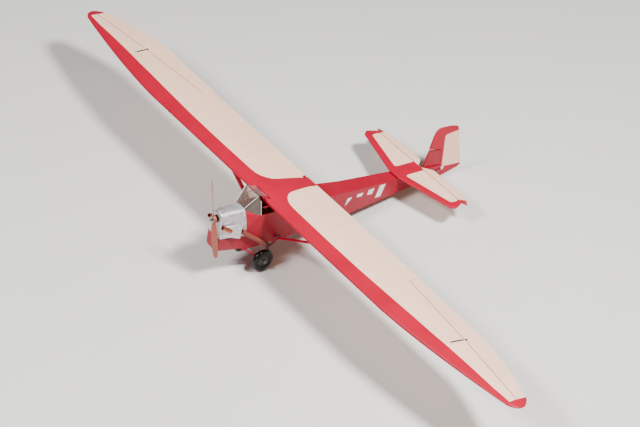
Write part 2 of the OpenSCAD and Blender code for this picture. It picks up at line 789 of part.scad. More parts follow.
// Frame on the rudder's hinge line: Z along the pin, Y aft
module at_rudder(drop) {
    translate([0, rudder_top[0] + drop * sin(rudder_lean), rudder_top[1] - drop * cos(rudder_lean)])
        rotate([rudder_lean, 0, 0]) children();
}
rudder_h = norm([rudder_foot[0] - rudder_top[0], rudder_foot[1] - rudder_top[1]]);
rudder_posts = [22, 54, 98];
module stern_notches() {
    for (d = rudder_posts) at_rudder(d)
        block([-6, -leaf_reach, -post_w / 2 - 0.1], [6, 20, post_w / 2 + 0.1]);
}
module fin() {
    color("crimson") difference() {
        side_plate([[682, -80.1], [697, -14], [stern(-23), -23], [stern(-83.9), -83.9]], fin_t);
        stern_notches();
    }
}
module rudder() {
    color("crimson") difference() {
        side_plate([[693, -8], [700, 35], [706, 56], [716, 65], [735, 69], [775, 66], [803, 58], [808, 48],
            [857, -110], [800, -128], [770, -134], [rudder_foot[0] - nose_r, -129],
            [rudder_top[0] - nose_r - 1, rudder_top[1] - 1]], 6);
        at_rudder(0) rotate([0, 90, 0]) nose_bevel_up();
        for (d = rudder_posts) at_rudder(d) rotate([0, 90, 0]) hinge_notch();
    }
}
module nose_bevel_up() {
    for (s = [0, 1]) mirror([0, 0, s]) translate([3, 0, 0]) rotate([90, 0, 90])
        linear_extrude(rudder_h + 20) polygon([[-nose_r, 0], [10, 12], [-20, 12], [-20, 0]]);
}
rudder_horn_drop = 80;
module rudder_horn() {
    color("white") at_rudder(rudder_horn_drop) difference() {
        hull() {
            translate([arm_r, 0, 0]) cylinder(r = 2.6, h = 1.6, center = true);
            translate([4, 8, 0]) cylinder(r = 4, h = 1.6, center = true);
        }
        translate([arm_r, 0, 0]) cylinder(r = pin_r + 0.06, h = 4, center = true);
        block([-4, -20, -4], [3.05, 30, 4]);
    }
}

// Every hinge pin with its post
module control_hinges() {
    color("silver") {
        both() for (x = aileron_posts) at_aileron(x) hinge_post();
        both() for (x = [60, 150]) translate([x, elevator_y, tail_z]) hinge_post();
        for (d = rudder_posts) at_rudder(d) rotate([0, 90, 0]) hinge_post();
    }
}

// Tail servos, arms and rods
elevator_rod = 538;
rudder_rod = 122;
module at_elevator_servo() {
    translate([0, elevator_y - elevator_rod, tail_z]) children();
}
module at_rudder_servo() {
    at_rudder(rudder_horn_drop) translate([0, -rudder_rod, 0]) children();
}
module tail_servos() {
    color("dimgray") {
        at_elevator_servo() {
            block([4, -14, -8], [26, 8, 8]);
            translate([-1, 0, 0]) rotate([0, 90, 0]) cylinder(r = servo_shaft, h = 6);
        }
        at_rudder_servo() {
            block([-8, -14, 2], [8, 8, 18]);
            translate([0, 0, -0.9]) cylinder(r = servo_shaft, h = 4);
        }
    }
}
module elevator_servo_arm() {
    color("white") at_elevator_servo() rotate([-elevator_park, 0, 0]) mirror([0, 0, 1]) servo_arm(2);
}
module rudder_servo_arm() {
    color("white") at_rudder_servo() flat_arm(1.6, servo_shaft + 0.06);
}
module elevator_pushrod() {
    color("silver") at_elevator_servo()
        translate([0, -arm_r * sin(elevator_park), -arm_r * cos(elevator_park)]) rod(elevator_rod, -3.4, 1);
}
module rudder_pushrod() {
    color("silver") at_rudder_servo() translate([arm_r, 0, 0]) rotate([0, 90, 0]) rod(rudder_rod, 2.6, 1);
}

stand() fuselage_shell();
stand() nose_pan();
stand() firewall();
stand() cowl();
stand() cylinder_fairings();
stand() exhaust_stubs();
stand() exhaust_pipes();
stand() motor_mount();
stand() motor_stator();
stand() speed_controller();
stand() battery();
stand() equipment_tray();
stand() receiver();
stand() tail_servos();
stand() glazing();
stand() glazing_frame();
stand() instrument_panel();
stand() seat();
stand() cabin_bulkhead();
stand() strut_brackets();
stand() undercarriage();
stand() axle();
stand() wheel_collars();
stand() tail_skid();
stand() fin();
stand() tailplane();
stand() wing_ribs();
stand() wing_spars();
stand() left_wing_cover();
stand() right_wing_cover();
stand() wing_tips();
stand() wing_trailing_edges();
stand() wing_joiner();
stand() wing_bolts();
stand() wing_struts();
stand() aileron_servos();
stand() control_hinges();
stand() propeller();
stand() prop_nut();
stand() motor_can();
stand() left_tyre();
stand() left_hub();
stand() right_tyre();
stand() right_hub();
stand() left_aileron();
stand() right_aileron();
stand() left_aileron_horn();
stand() right_aileron_horn();
stand() elevator();
stand() elevator_horn();
stand() rudder();
stand() rudder_horn();
stand() rudder_servo_arm();
stand() elevator_servo_arm();
stand() left_servo_arm();
stand() right_servo_arm();
stand() rudder_pushrod();
stand() elevator_pushrod();
stand() left_aileron_pushrod();
stand() right_aileron_pushrod();
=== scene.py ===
import json
import math
import bmesh
import bpy
from mathutils import Matrix, Vector


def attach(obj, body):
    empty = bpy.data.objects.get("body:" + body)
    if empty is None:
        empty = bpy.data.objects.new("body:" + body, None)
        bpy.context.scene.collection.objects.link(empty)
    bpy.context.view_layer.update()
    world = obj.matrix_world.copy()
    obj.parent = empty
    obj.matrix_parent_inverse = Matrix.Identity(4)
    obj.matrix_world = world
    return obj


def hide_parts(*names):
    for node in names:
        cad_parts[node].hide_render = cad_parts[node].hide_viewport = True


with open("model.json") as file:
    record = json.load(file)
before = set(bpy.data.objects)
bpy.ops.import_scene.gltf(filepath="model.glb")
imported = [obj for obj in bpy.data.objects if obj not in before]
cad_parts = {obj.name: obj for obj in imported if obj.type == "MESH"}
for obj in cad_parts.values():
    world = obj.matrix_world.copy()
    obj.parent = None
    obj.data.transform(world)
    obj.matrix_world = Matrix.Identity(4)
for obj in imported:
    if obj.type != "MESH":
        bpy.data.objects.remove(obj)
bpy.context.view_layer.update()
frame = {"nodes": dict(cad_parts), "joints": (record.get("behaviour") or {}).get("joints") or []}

# Wing skins: doped fabric over ribs, red along the leading edge and the root, cream behind.
# Each half is one closed skin whose fabric sags a little between the ribs.
nodes = frame["nodes"]
joint_at = {joint["name"]: Vector(joint["pos_m"]) for joint in frame["joints"]}
joint_axis = {joint["name"]: Vector(joint["axis"]) for joint in frame["joints"]}
wheel_mm = Vector((58, 9, -208))
hinge_mm = Vector((0, 668, -69))
lean_row = joint_at["elevator_hinge"] - joint_at["left_wheel_spin"]
lean_mm = hinge_mm - wheel_mm
stance = math.atan2(lean_row.z, lean_row.y) - math.atan2(lean_mm.z, lean_mm.y)
turn = Matrix.Rotation(stance, 4, "X") @ Matrix.Scale(0.001, 4)
to_row = Matrix.Translation(joint_at["left_wheel_spin"] - turn @ wheel_mm) @ turn


def linear(code):
    """A screen colour such as "#E62F4B" as linear red, green, blue, alpha."""
    parts = [int(code[k:k + 2], 16) / 255 for k in (1, 3, 5)]
    return [p / 12.92 if p <= 0.04045 else ((p + 0.055) / 1.055) ** 2.4 for p in parts] + [1.0]


def add(tree, kind, inputs, **settings):
    """A new shader node. Each input is a value, or the socket that feeds it."""
    node = tree.nodes.new("ShaderNode" + kind)
    for key, value in settings.items():
        setattr(node, key, value)
    for key, value in inputs.items():
        if isinstance(value, bpy.types.NodeSocket):
            tree.links.new(value, node.inputs[key])
        else:
            node.inputs[key].default_value = value
    return node


def blank(name, **values):
    """A material with its Principled shader's own sockets set."""
    paint = bpy.data.materials.new(name)
    paint.use_nodes = True
    shader = paint.node_tree.nodes["Principled BSDF"]
    for key, value in values.items():
        shader.inputs[key.replace("_", " ")].default_value = value
    return paint, paint.node_tree, shader


def noise(tree, size_mm, detail=4, stretch=(1, 1, 1)):
    """Noise whose spots are about size_mm across, measured on the real object."""
    place = add(tree, "TexCoord", {}).outputs["Object"]
    scaled = add(tree, "Mapping", {"Vector": place, "Scale": [1000 / (size_mm * s) for s in stretch]})
    return add(tree, "TexNoise", {"Vector": scaled.outputs[0], "Scale": 1.0, "Detail": detail}).outputs["Fac"]


def edge_distance(point, outline, rounding):
    """Distance in mm inside a closed outline with rounded corners; negative outside."""
    nearest, inside = 1e9, False
    for k, b in enumerate(outline):
        a = outline[k - 1]
        run, rise = b[0] - a[0], b[1] - a[1]
        along = ((point[0] - a[0]) * run + (point[1] - a[1]) * rise) / (run * run + rise * rise)
        along = min(1, max(0, along))
        nearest = min(nearest, math.hypot(point[0] - a[0] - along * run, point[1] - a[1] - along * rise))
        if (a[1] > point[1]) != (b[1] > point[1]) and point[0] < a[0] + run * (point[1] - a[1]) / rise:
            inside = not inside
    return (nearest if inside else -nearest) + rounding


def make(name, body, slot, paint, points, faces, stands_for=(), spot=None, crease=40, place=None, cuts=()):
    """One piece. Points are in millimetres on the aircraft's own lines; spot gives cream_mm and rib_count."""
    mesh = bpy.data.meshes.new(name)
    bm = bmesh.new()
    layers = [bm.verts.layers.float.new(k) for k in ("cream_mm", "rib_count")] if spot else []
    corners = [bm.verts.new(p) for p in points]
    for layer, values in zip(layers, zip(*[spot(p) for p in points]) if spot else ()):
        for corner, value in zip(corners, values):
            corner[layer] = value
    for face in faces:
        bm.faces.new([corners[k] for k in face])
    bmesh.ops.recalc_face_normals(bm, faces=bm.faces)
    for cut in cuts:
        cut(bm)
    for face in bm.faces:
        face.smooth = True
    for edge in bm.edges:
        edge.smooth = len(edge.link_faces) == 2 and edge.calc_face_angle() < math.radians(crease)
    bmesh.ops.transform(bm, matrix=(place or Matrix()) @ to_row, verts=bm.verts)
    bm.to_mesh(mesh)
    bm.free()
    piece = bpy.data.objects.new(name, mesh)
    bpy.context.scene.collection.objects.link(piece)
    mesh.materials.append(paint)
    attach(piece, body)
    if stands_for:
        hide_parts(*stands_for)
    return piece


def loft(rings, caps=(True, True), start=0):
    """Faces through equal closed rings of points, numbered from start."""
    n = len(rings[0])
    faces = []
    for k in range(len(rings) - 1):
        a, b = start + k * n, start + k * n + n
        faces += [(a + i, b + i, b + (i + 1) % n, a + (i + 1) % n) for i in range(n)]
    if caps[0]:
        faces.append(tuple(range(start, start + n)))
    if caps[1]:
        faces.append(tuple(range(start + (len(rings) - 1) * n, start + len(rings) * n)))
    return [p for ring in rings for p in ring], faces


half_span, chord, upper_rise, lower_drop = 1130, 206, 18, 6
lead_sweep, lead_from, trail_taper, trail_from, round_from = 68, 600, 78, 840, 1095
rib_first, rib_pitch, aileron_in, tip_in = 4, 52, 540, 1100
hinge_in_y, hinge_out_y, hinge_in_z, hinge_out_z = 165, 104, 1.6, 1.2


def past(x, a, b):
    return max(0, (x - a) / (b - a))


def middle_and_half(x):
    """Mid-chord and half the chord at x: swept and tapered outboard, rounded off at the tip."""
    a = lead_sweep * past(x, lead_from, half_span) ** 1.5
    b = chord - trail_taper * past(x, trail_from, half_span) ** 1.4
    return (a + b) / 2, (b - a) / 2 * math.sqrt(max(0.02, 1 - past(x, round_from, half_span + 1) ** 2))


def front(x):
    middle, half = middle_and_half(x)
    return middle - half


def back(x):
    middle, half = middle_and_half(x)
    return middle + half


def bulge(x, y):
    c = min(1, max(0, (y - front(x)) / (back(x) - front(x))))
    return 10 * (0.2969 * math.sqrt(c) - 0.126 * c - 0.3516 * c ** 2 + 0.2843 * c ** 3 - 0.1036 * c ** 4)


def size_at(x):
    return (back(x) - front(x)) / chord


def top(x, y):
    return upper_rise * size_at(x) * bulge(x, y)


def under(x, y):
    return -lower_drop * size_at(x) * math.sqrt(max(0, bulge(x, y)))


def hinge_y(x):
    return hinge_in_y + (x - aileron_in) * (hinge_out_y - hinge_in_y) / (tip_in - aileron_in)


def hinge_z(x):
    return hinge_in_z + (x - aileron_in) * (hinge_out_z - hinge_in_z) / (tip_in - aileron_in)


def sag(x, y, a, b):
    """How far the fabric dips between two ribs, fading out at the leading and trailing edges."""
    u = (x - rib_first) / rib_pitch % 1
    fade = min(1, max(0, (y - a - 42) / 14)) * min(1, max(0, (b - y) / 22))
    return 0.4 * 4 * u * (1 - u) * fade


cream_edge = [(21, 300), (25, 184), (32, 131), (38, 92), (44, 76), (58, 62), (74, 52), (92, 46.5), (118, 44.5),
              (300, 43), (450, 44), (620, 50), (700, 54), (765, 56), (850, 61), (950, 66), (1030, 69),
              (1099.5, 75), (1099.5, 300)]


def wing_spot(p):
    return (edge_distance((abs(p[0]), p[1]), cream_edge, 0), (abs(p[0]) - rib_first) / rib_pitch)


def wing_ring(side, x, end, rows):
    a = front(x)
    ys = [a + (end - a) * (i / rows) ** 1.6 for i in range(rows + 1)]
    close = 0.5 if end > back(x) - 1 else 0
    upper = [(side * x, y, max(top(x, y) - sag(x, y, a, end), close)) for y in reversed(ys)]
    lower = [(side * x, y, min(under(x, y) + sag(x, y, a, end) * 0.5, -close)) for y in ys[1:]]
    return upper + lower


# Doped fabric, red and cream: satin, with a crisp painted edge, a painted highlight along each rib, and a faint
# weave
covering, tree, shader = blank("doped_fabric_satin_red_and_cream", Specular_IOR_Level=0.2)
cream_mm = add(tree, "Attribute", {}, attribute_name="cream_mm").outputs["Fac"]
cream_share = add(tree, "MapRange", {"Value": cream_mm, "From Min": -0.35, "From Max": 0.35}).outputs[0]
# Painted highlight: the cream is lightened towards #FBE2CE along each rib line, standing in for light on the
# fabric over the rib crests
rib_gap = add(tree, "Math", {0: add(tree, "Attribute", {}, attribute_name="rib_count").outputs["Fac"], 1: 0.5},
              operation="PINGPONG").outputs[0]
rib_highlight = add(tree, "MapRange", {"Value": rib_gap, "From Min": 0.012, "From Max": 0.045,
                                  "To Min": 1.0, "To Max": 0.0}).outputs[0]
cloud = noise(tree, 90)
red = add(tree, "MixRGB", {"Fac": cloud, "Color1": linear("#9A0024"), "Color2": linear("#B4022C")}).outputs[0]
plain_cream = add(tree, "MixRGB", {"Fac": cloud, "Color1": linear("#F0C3A5"),
                                   "Color2": linear("#F8CDB1")}).outputs[0]
rib_highlight_share = add(tree, "Math", {0: rib_highlight, 1: 0.4}, operation="MULTIPLY").outputs[0]
cream = add(tree, "MixRGB", {"Fac": rib_highlight_share, "Color1": plain_cream, "Color2": linear("#FBE2CE")}).outputs[0]
both = add(tree, "MixRGB", {"Fac": cream_share, "Color1": red, "Color2": cream}).outputs[0]
tree.links.new(both, shader.inputs["Base Color"])
gloss = add(tree, "MapRange", {"Value": cream_share, "To Min": 0.42, "To Max": 0.56}).outputs[0]
tree.links.new(gloss, shader.inputs["Roughness"])
weave = add(tree, "Bump", {"Height": noise(tree, 1.6, 2), "Strength": 0.25, "Distance": 0.0002})
tree.links.new(weave.outputs[0], shader.inputs["Normal"])

steps = (0, 1.2, 3.5, 8, 15, 26, 37, 44, 48.5, 50.8)
columns = [rib_first + rib_pitch * k + s for k in range(-1, 21) for s in steps]
inner = [0.2] + [x for x in columns if 0.4 < x < aileron_in - 1] + [aileron_in - 0.1]
outer = [aileron_in] + [x for x in columns if aileron_in + 1 < x < 1092] + [1094, 1097, tip_in - 0.2]
linkage_x, linkage_rod = 837, 46
yaw = math.atan((hinge_in_y - hinge_out_y) / (tip_in - aileron_in))
well = {"low": (-4.6, -8), "high": (2, linkage_rod + 6)}
search_mm, skin_floor = 90, 0.2


def servo_slot(side):
    """Cuts the slot for the aileron servo's arm and rod out of the upper skin and its rear edge."""
    def cut(bm):
        centre = Vector((side * linkage_x, hinge_y(linkage_x), 0))
        u = Vector((math.cos(yaw), -side * math.sin(yaw), 0))
        v = Vector((side * math.sin(yaw), math.cos(yaw), 0))
        base = centre - v * linkage_rod
        span = sorted((side * well["low"][0], side * well["high"][0]))
        sides = ((u * span[0], u), (u * span[1], u), (v * well["low"][1], v), (v * well["high"][1], v),
                 (Vector((0, 0, skin_floor)), Vector((0, 0, 1))))

        def near():
            return [f for f in bm.faces if (f.calc_center_median() - centre).length < search_mm
                    and f.normal.z > -0.5]

        for offset, way in sides:
            geometry = list({g for f in near() for g in [f, *f.edges, *f.verts]})
            bmesh.ops.bisect_plane(bm, geom=geometry, plane_co=base + offset, plane_no=way)
        inside = [f for f in near() if span[0] < (f.calc_center_median() - base).dot(u) < span[1]
                  and well["low"][1] < (f.calc_center_median() - base).dot(v) < well["high"][1]
                  and f.calc_center_median().z > skin_floor]
        bmesh.ops.delete(bm, geom=inside, context="FACES")
    return cut


for word, side in (("left", 1), ("right", -1)):
    points, faces = loft([wing_ring(side, x, back(x), 46) for x in inner])
    more, extra = loft([wing_ring(side, x, hinge_y(x) - 2.4, 40) for x in outer], start=len(points))
    make(word + "_wing_skin", "airframe", "cream_fabric", covering, points + more, faces + extra,
         (word + "_wing_cover", "wing_trailing_edges"), spot=wing_spot, crease=50, cuts=(servo_slot(side),))

# Wing tips: carved blocks glued to the end ribs, in the same covering as the skins.
# The red is carried round them, and they thin to a rounded edge.
stations = [tip_in, 1103, 1106, 1109, 1112, 1115, 1118, 1120.5, 1123, 1125, 1127, 1128.5, half_span]
points, faces = [], []
for side in (1, -1):
    more, extra = loft([wing_ring(side, x, back(x), 30) for x in stations], start=len(points))
    points, faces = points + more, faces + extra
make("wing_tip_blocks", "airframe", "red_covering", covering, points, faces, ("wing_tips",),
     spot=lambda p: (-9, 0.5), crease=60)

# Ailerons: one cream panel each, hinged on pins behind the aileron spar, with painted rib highlights set on the
# slant.
# Each is parked aileron_park degrees off neutral.
aileron_park = 5
aileron_x = [aileron_in + 0.6 + (tip_in - aileron_in - 1.2) * k / 90 for k in range(91)]


def aileron_ring(side, x):
    h, z, t = hinge_y(x), hinge_z(x), back(x) - 0.2
    deep, low = top(x, h + 4) - z, z - under(x, h + 4)
    a, b = h - 2 + deep, h - 2 + low
    upper = [(side * x, a + (t - a) * k / 12, max(top(x, a + (t - a) * k / 12), 0.5)) for k in range(13)]
    lower = [(side * x, t - (t - b) * k / 12, min(under(x, t - (t - b) * k / 12), -0.5)) for k in range(13)]
    upper[0], lower[-1] = (side * x, a, z + deep), (side * x, b, z - low)
    return [(side * x, h - 2, z)] + upper + lower


for word, side, park in (("left", 1, -aileron_park), ("right", -1, aileron_park)):
    points, faces = loft([aileron_ring(side, x) for x in aileron_x])
    pivot = joint_at[word + "_aileron_hinge"]
    tilt = Matrix.Rotation(math.radians(park), 4, joint_axis[word + "_aileron_hinge"])
    make(word + "_aileron_panel", word + "_aileron", "cream_fabric", covering, points, faces,
         (word + "_aileron",),
         spot=lambda p: (9, (abs(p[0]) - 1.1 * (p[1] - hinge_y(abs(p[0])))) / 60), crease=30,
         place=Matrix.Translation(pivot) @ tilt @ Matrix.Translation(-pivot))

# Tail surfaces: thin slabs with rounded edges in the same covering, red borders round cream panels.
# The elevator halves share one rod, and the rudder hangs on the fin with a balance above it.


def between(table, s):
    """Straight-line reading of a table of (place, value) pairs."""
    for (a, va), (b, vb) in zip(table, table[1:]):
        if s <= b:
            return va + (vb - va) * (s - a) / (b - a)
    return table[-1][1]


def slab(stations, lead, trail, thick, lead_round, trail_thick, place):
    """A slab across the stations, rounded at its leading edge and thinned to its trailing edge."""
    shares = [0, 0.006, 0.02, 0.045, 0.08, 0.13] + [0.2 + 0.08 * k for k in range(10)] + [0.96, 0.985, 1]
    rings = []
    for n, s in enumerate(stations):
        a, b = between(lead, s), between(trail, s)
        end = min(1, 0.25 + 0.35 * min(n, len(stations) - 1 - n))
        upper = []
        for share in shares:
            y = a + (b - a) * share
            rounded = math.sqrt(1 - (1 - min(1, (y - a) / lead_round)) ** 2)
            tail_off = trail_thick + (1 - trail_thick) * min(1, (b - y) / (0.75 * (b - a) + 0.1))
            upper.append((y, thick / 2 * end * max(0.06, rounded * tail_off)))
        rings.append([place(s, y, t) for y, t in upper] + [place(s, y, -t) for y, t in reversed(upper)])
    return loft(rings)


def steps_between(low, high, pitch, ends):
    """Even stations with fine ones at both ends, for rounded edges."""
    count = int((high - low - 2 * ends[-1]) / pitch)
    inner_steps = [low + ends[-1] + (high - low - 2 * ends[-1]) * k / count for k in range(1, count)]
    return [low + e for e in ends] + inner_steps + [high - e for e in reversed(ends)]


tail_z, elevator_park = -69, -9
tail_panel = [(27, 586), (207, 628), (209, 656), (203, 672), (27, 672)]
tail_lead = [(-237, 626), (-223, 610), (-24, 556), (24, 556), (223, 610), (237, 626)]
tail_trail = [(-237, 627), (-221, 665.6), (221, 665.6), (237, 627)]
points, faces = slab(steps_between(-237, 237, 5, (0, 0.6, 2, 4)), tail_lead, tail_trail, 8, 6, 0.8,
                     lambda s, y, t: (s, y, tail_z + t))
make("tailplane_covering", "airframe", "cream_fabric", covering, points, faces, ("tailplane",),
     spot=lambda p: (edge_distance((abs(p[0]), p[1]), [(a + 7 if a < 100 else a - 7, b + 7 if b < 640 else b - 7)
                                                       for a, b in tail_panel], 7), abs(p[0]) / 45))

pivot = joint_at["elevator_hinge"]
droop = Matrix.Rotation(math.radians(elevator_park), 4, joint_axis["elevator_hinge"])
droop = Matrix.Translation(pivot) @ droop @ Matrix.Translation(-pivot)
points, faces = [], []
for side in (1, -1):
    more, extra = slab(steps_between(12, 235, 5, (0, 0.6, 2, 4)), [(12, 666), (221, 666), (235, 678)],
                       [(12, 676), (34, 704), (180, 704), (207, 695), (235, 679)], 7, 3, 0.3,
                       lambda s, y, t: (side * s, y, tail_z + t))
    points, faces = points + more, faces + [tuple(k + len(points) for k in face) for face in extra]
around = [(2 * math.pi * k / 16) for k in range(16)]
rod = [[(x, 668 + 1.5 * math.cos(a), tail_z + 1.5 * math.sin(a)) for a in around] for x in (-29, 29)]
more, extra = loft(rod, start=len(points))
make("elevator_covering", "elevator", "cream_fabric", covering, points + more, faces + extra, ("elevator",),
     spot=lambda p: (207 - abs(p[0]) + 0.3 * (p[1] - 668), (abs(p[0]) + 0.8 * (p[1] - 668)) / 45), place=droop)

rudder_lead = [(-134, 769), (-129, 767), (-20, 745), (-8, 693), (35, 700), (56, 706), (65, 716), (69, 735)]
rudder_trail = [(-134, 771), (-128, 800), (-110, 857), (48, 808), (58, 803), (66, 775), (69, 736)]
rudder_panel = [(762, 27), (840, 33), (890, -97), (777, -86)]


def rudder_spot(p):
    fan = math.degrees(math.atan2(p[2] + 30, p[1] - 640)) / 9
    return (edge_distance((p[1], p[2]), rudder_panel, 9), fan)


points, faces = slab(steps_between(-134, 69, 4, (0, 0.6, 2, 4)), rudder_lead, rudder_trail, 6, 3.5, 0.3,
                     lambda s, y, t: (t, y, s))
make("rudder_covering", "rudder", "red_covering", covering, points, faces, ("rudder",), spot=rudder_spot)

# Hinge shade strips: narrow brown strips of painted shade laid along the fixed side of the aileron and elevator
# hinges, standing in for the shadow in the hinge groove, broken where the aileron's rod crosses.
# Painted shade: a thin dull brown line between the cream panels, where the hinge groove lies in shadow
groove_shade_paint, tree, shader = blank("brown_cloth_hinge_tape", Roughness=0.85)
shade = add(tree, "MixRGB", {"Fac": noise(tree, 2), "Color1": linear("#7A5A48"), "Color2": linear("#A2806C")})
tree.links.new(shade.outputs[0], shader.inputs["Base Color"])
# The strip stops on both sides of the aileron's rod, and the aileron and elevator strips are separate
rod_gap, strip_ends = (31, 32), (60, 81)
points, faces = [], []
for side in (1, -1):
    lines = [[(side * x, hinge_y(x) - 2.5 - w, top(x, hinge_y(x) - 2.5 - w) + 0.12) for w in (0, 2.6)]
             for x in [aileron_in + 2 + 556 * k / 60 for k in range(61)]]
    lines += [[(side * x, 665.5 - w, tail_z + 4.1) for w in (0, 2.6)]
              for x in [26 + 190 * k / 20 for k in range(21)]]
    for k, line in enumerate(lines):
        points += line
        if k not in rod_gap + strip_ends:
            n = len(points)
            faces += [(n - 2, n - 1, n + 1, n)]
# These strips are painted shade: a brown line for the hinge groove's shadow
groove_shade_strips = make("hinge_tapes", "airframe", "cream_fabric", groove_shade_paint, points, faces)
sheet = groove_shade_strips.modifiers.new("sheet_thickness", "SOLIDIFY")
sheet.thickness, sheet.offset = 0.0002, 0

# Fuselage, fin, nose pan and struts: red enamel over wood, with the long edges rounded over
# by hand before painting.
# Satin red enamel: deep, a little uneven, with brushed-on softness in its highlights
enamel, tree, shader = blank("satin_red_enamel_on_wood", Coat_Weight=0.05, Coat_Roughness=0.3,
                             Specular_IOR_Level=0.3)
shade = add(tree, "MixRGB", {"Fac": noise(tree, 60), "Color1": linear("#88001C"), "Color2": linear("#A20226")})
tree.links.new(shade.outputs[0], shader.inputs["Base Color"])
gloss = add(tree, "MapRange", {"Value": noise(tree, 14), "To Min": 0.34, "To Max": 0.52}).outputs[0]
tree.links.new(gloss, shader.inputs["Roughness"])
skin = add(tree, "Bump", {"Height": noise(tree, 5, 3, (1, 4, 1)), "Strength": 0.3, "Distance": 0.0003})
tree.links.new(skin.outputs[0], shader.inputs["Normal"])


def soften(node, piece_name, body, paint, width_mm, crease=28):
    """A copy of a frame node with its hard edges rounded, shown in its place."""
    mesh = nodes[node].data.copy()
    mesh.name = piece_name
    bm = bmesh.new()
    bm.from_mesh(mesh)
    bmesh.ops.remove_doubles(bm, verts=bm.verts, dist=0.00002)
    bmesh.ops.dissolve_limit(bm, angle_limit=math.radians(0.6), verts=bm.verts, edges=bm.edges)
    for face in bm.faces:
        face.smooth = True
        face.material_index = 0
    for edge in bm.edges:
        edge.smooth = len(edge.link_faces) == 2 and edge.calc_face_angle() < math.radians(crease)
    bm.to_mesh(mesh)
    bm.free()
    for name in [a.name for a in mesh.attributes if a.name == "custom_normal"]:
        mesh.attributes.remove(mesh.attributes[name])
    mesh.materials.clear()
    mesh.materials.append(paint)
    piece = bpy.data.objects.new(piece_name, mesh)
    bpy.context.scene.collection.objects.link(piece)
    edges = piece.modifiers.new("rounded_edges", "BEVEL")
    edges.width, edges.segments, edges.limit_method = width_mm / 1000, 3, "ANGLE"
    edges.angle_limit, edges.harden_normals = math.radians(crease), True
    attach(piece, body)
    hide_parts(node)
    return piece


for node, piece_name, width in (("fuselage_shell", "fuselage_skin", 1.2), ("fin", "fin_skin", 2.0),
                                ("nose_pan", "nose_pan_skin", 0.9), ("wing_struts", "strut_fairings", 0.8)):
    soften(node, piece_name, "airframe", enamel, width)

# Side markings: four slanted bars on each side, cut from thin white sheet and laid on the
# fuselage side, where they follow its taper.
# Matt white vinyl: flat and clean against the satin red
vinyl, tree, shader = blank("matt_white_vinyl", Roughness=0.6)
shade = add(tree, "MixRGB", {"Fac": noise(tree, 8), "Color1": linear("#E4DCDA"), "Color2": linear("#F3EFEC")})
tree.links.new(shade.outputs[0], shader.inputs["Base Color"])
half_width = [(150, 45), (250, 38), (360, 32), (570, 22)]
points, faces = [], []
for side in (1, -1):
    for middle, width in ((346, 17), (391, 24), (439, 24), (487, 24)):
        rows = []
        for lean, z in ((-6, -23), (6, 23)):
            z_mid = -108 + (middle - 330) * 10 / 185
            rows.append([(side * (between(half_width, y) + 0.15), y, z_mid + z)
                         for y in [middle - width / 2 + width * k / 6 + lean for k in range(7)]])
        start = len(points)
        points += rows[0] + rows[1]
        faces += [(start + k, start + k + 1, start + k + 8, start + k + 7) for k in range(6)]
marks = make("side_markings", "airframe", "frame_tape", vinyl, points, faces)
sheet = marks.modifiers.new("sheet_thickness", "SOLIDIFY")
sheet.thickness, sheet.offset = 0.0002, 0

# Cowl: beaten aluminium sheet round the motor, open at the front for the shaft and underneath,
# with a box-shaped fairing on each side. All of it is brushed with silver paint.
# Brushed silver paint on aluminium: blotchy bright streaks and a soft broken highlight
silver, tree, shader = blank("brushed_silver_paint_on_aluminium", Metallic=0.7)
streaks = noise(tree, 5, 5, (1, 5, 1))
shade = add(tree, "MixRGB", {"Fac": streaks, "Color1": linear("#857C82"), "Color2": linear("#F4E9EC")})
tree.links.new(shade.outputs[0], shader.inputs["Base Color"])
gloss = add(tree, "MapRange", {"Value": noise(tree, 9, 4), "From Min": 0.3, "From Max": 0.7,
                               "To Min": 0.28, "To Max": 0.6}).outputs[0]
tree.links.new(gloss, shader.inputs["Roughness"])
dents = add(tree, "Bump", {"Height": noise(tree, 7, 4), "Strength": 0.6, "Distance": 0.0009})
tree.links.new(dents.outputs[0], shader.inputs["Normal"])


def arch(half, count):
    """A rounded arch through half an outline, evenly spaced, mirrored and closed along its foot."""
    smooth = []
    for k in range(len(half) - 1):
        p0, p1, p2 = half[max(0, k - 1)], half[k], half[k + 1]
        p3 = half[min(len(half) - 1, k + 2)]
        for step in range(8):
            t = step / 8
            smooth.append(tuple(0.5 * (2 * b + (c - a) * t + (2 * a - 5 * b + 4 * c - d) * t * t
                                       + (3 * b - a - 3 * c + d) * t ** 3) for a, b, c, d in zip(p0, p1, p2, p3)))
    smooth.append(half[-1])
    run = [0]
    for a, b in zip(smooth, smooth[1:]):
        run.append(run[-1] + math.dist(a, b))
    table = list(zip(run, smooth))
    side = [tuple(between([(r, p[c]) for r, p in table], run[-1] * k / count) for c in (0, 1))
            for k in range(count + 1)]
    over = side + [(-x, z) for x, z in reversed(side[:-1])]
    foot = over[-1]
    return over + [(foot[0] * (1 - k / 4), foot[1]) for k in range(1, 8)]


rear = arch([(46, -98), (46, -74), (40.5, -51), (31, -30), (24, -18.5), (16, -14), (0, -13)], 26)
nose = arch([(30, -98), (27, -60), (25.5, -38), (22, -25), (15, -16), (7, -13), (0, -12.5)], 26)
thrust_z, hole_r, cowl_face, cowl_foot = -38, 12, -156, -98
rings = []
for y in [-69.9, -72, -73.4, -73.6] + [-74 - 9 * k for k in range(9)] + [-150, -152.5]:
    share = (-69.9 - y) / 86
    lift = 1.0 if y > -73.5 else 0.4
    rings.append([(a[0] + (b[0] - a[0]) * share, y, a[1] + (b[1] - a[1]) * share) for a, b in zip(rear, nose)])
    rings[-1] = [(x * (1 + 0.012 * lift), y, z + 0.4 * lift * (z > -60)) for x, y, z in rings[-1]]
for inset, y in ((0.6, -154.2), (1.8, -155.4), (3.6, cowl_face)):
    rings.append([(x * (1 - inset / 30), y, z - (inset if z > -60 else 0)) for x, _, z in rings[-1]])
rim = rings[-1]
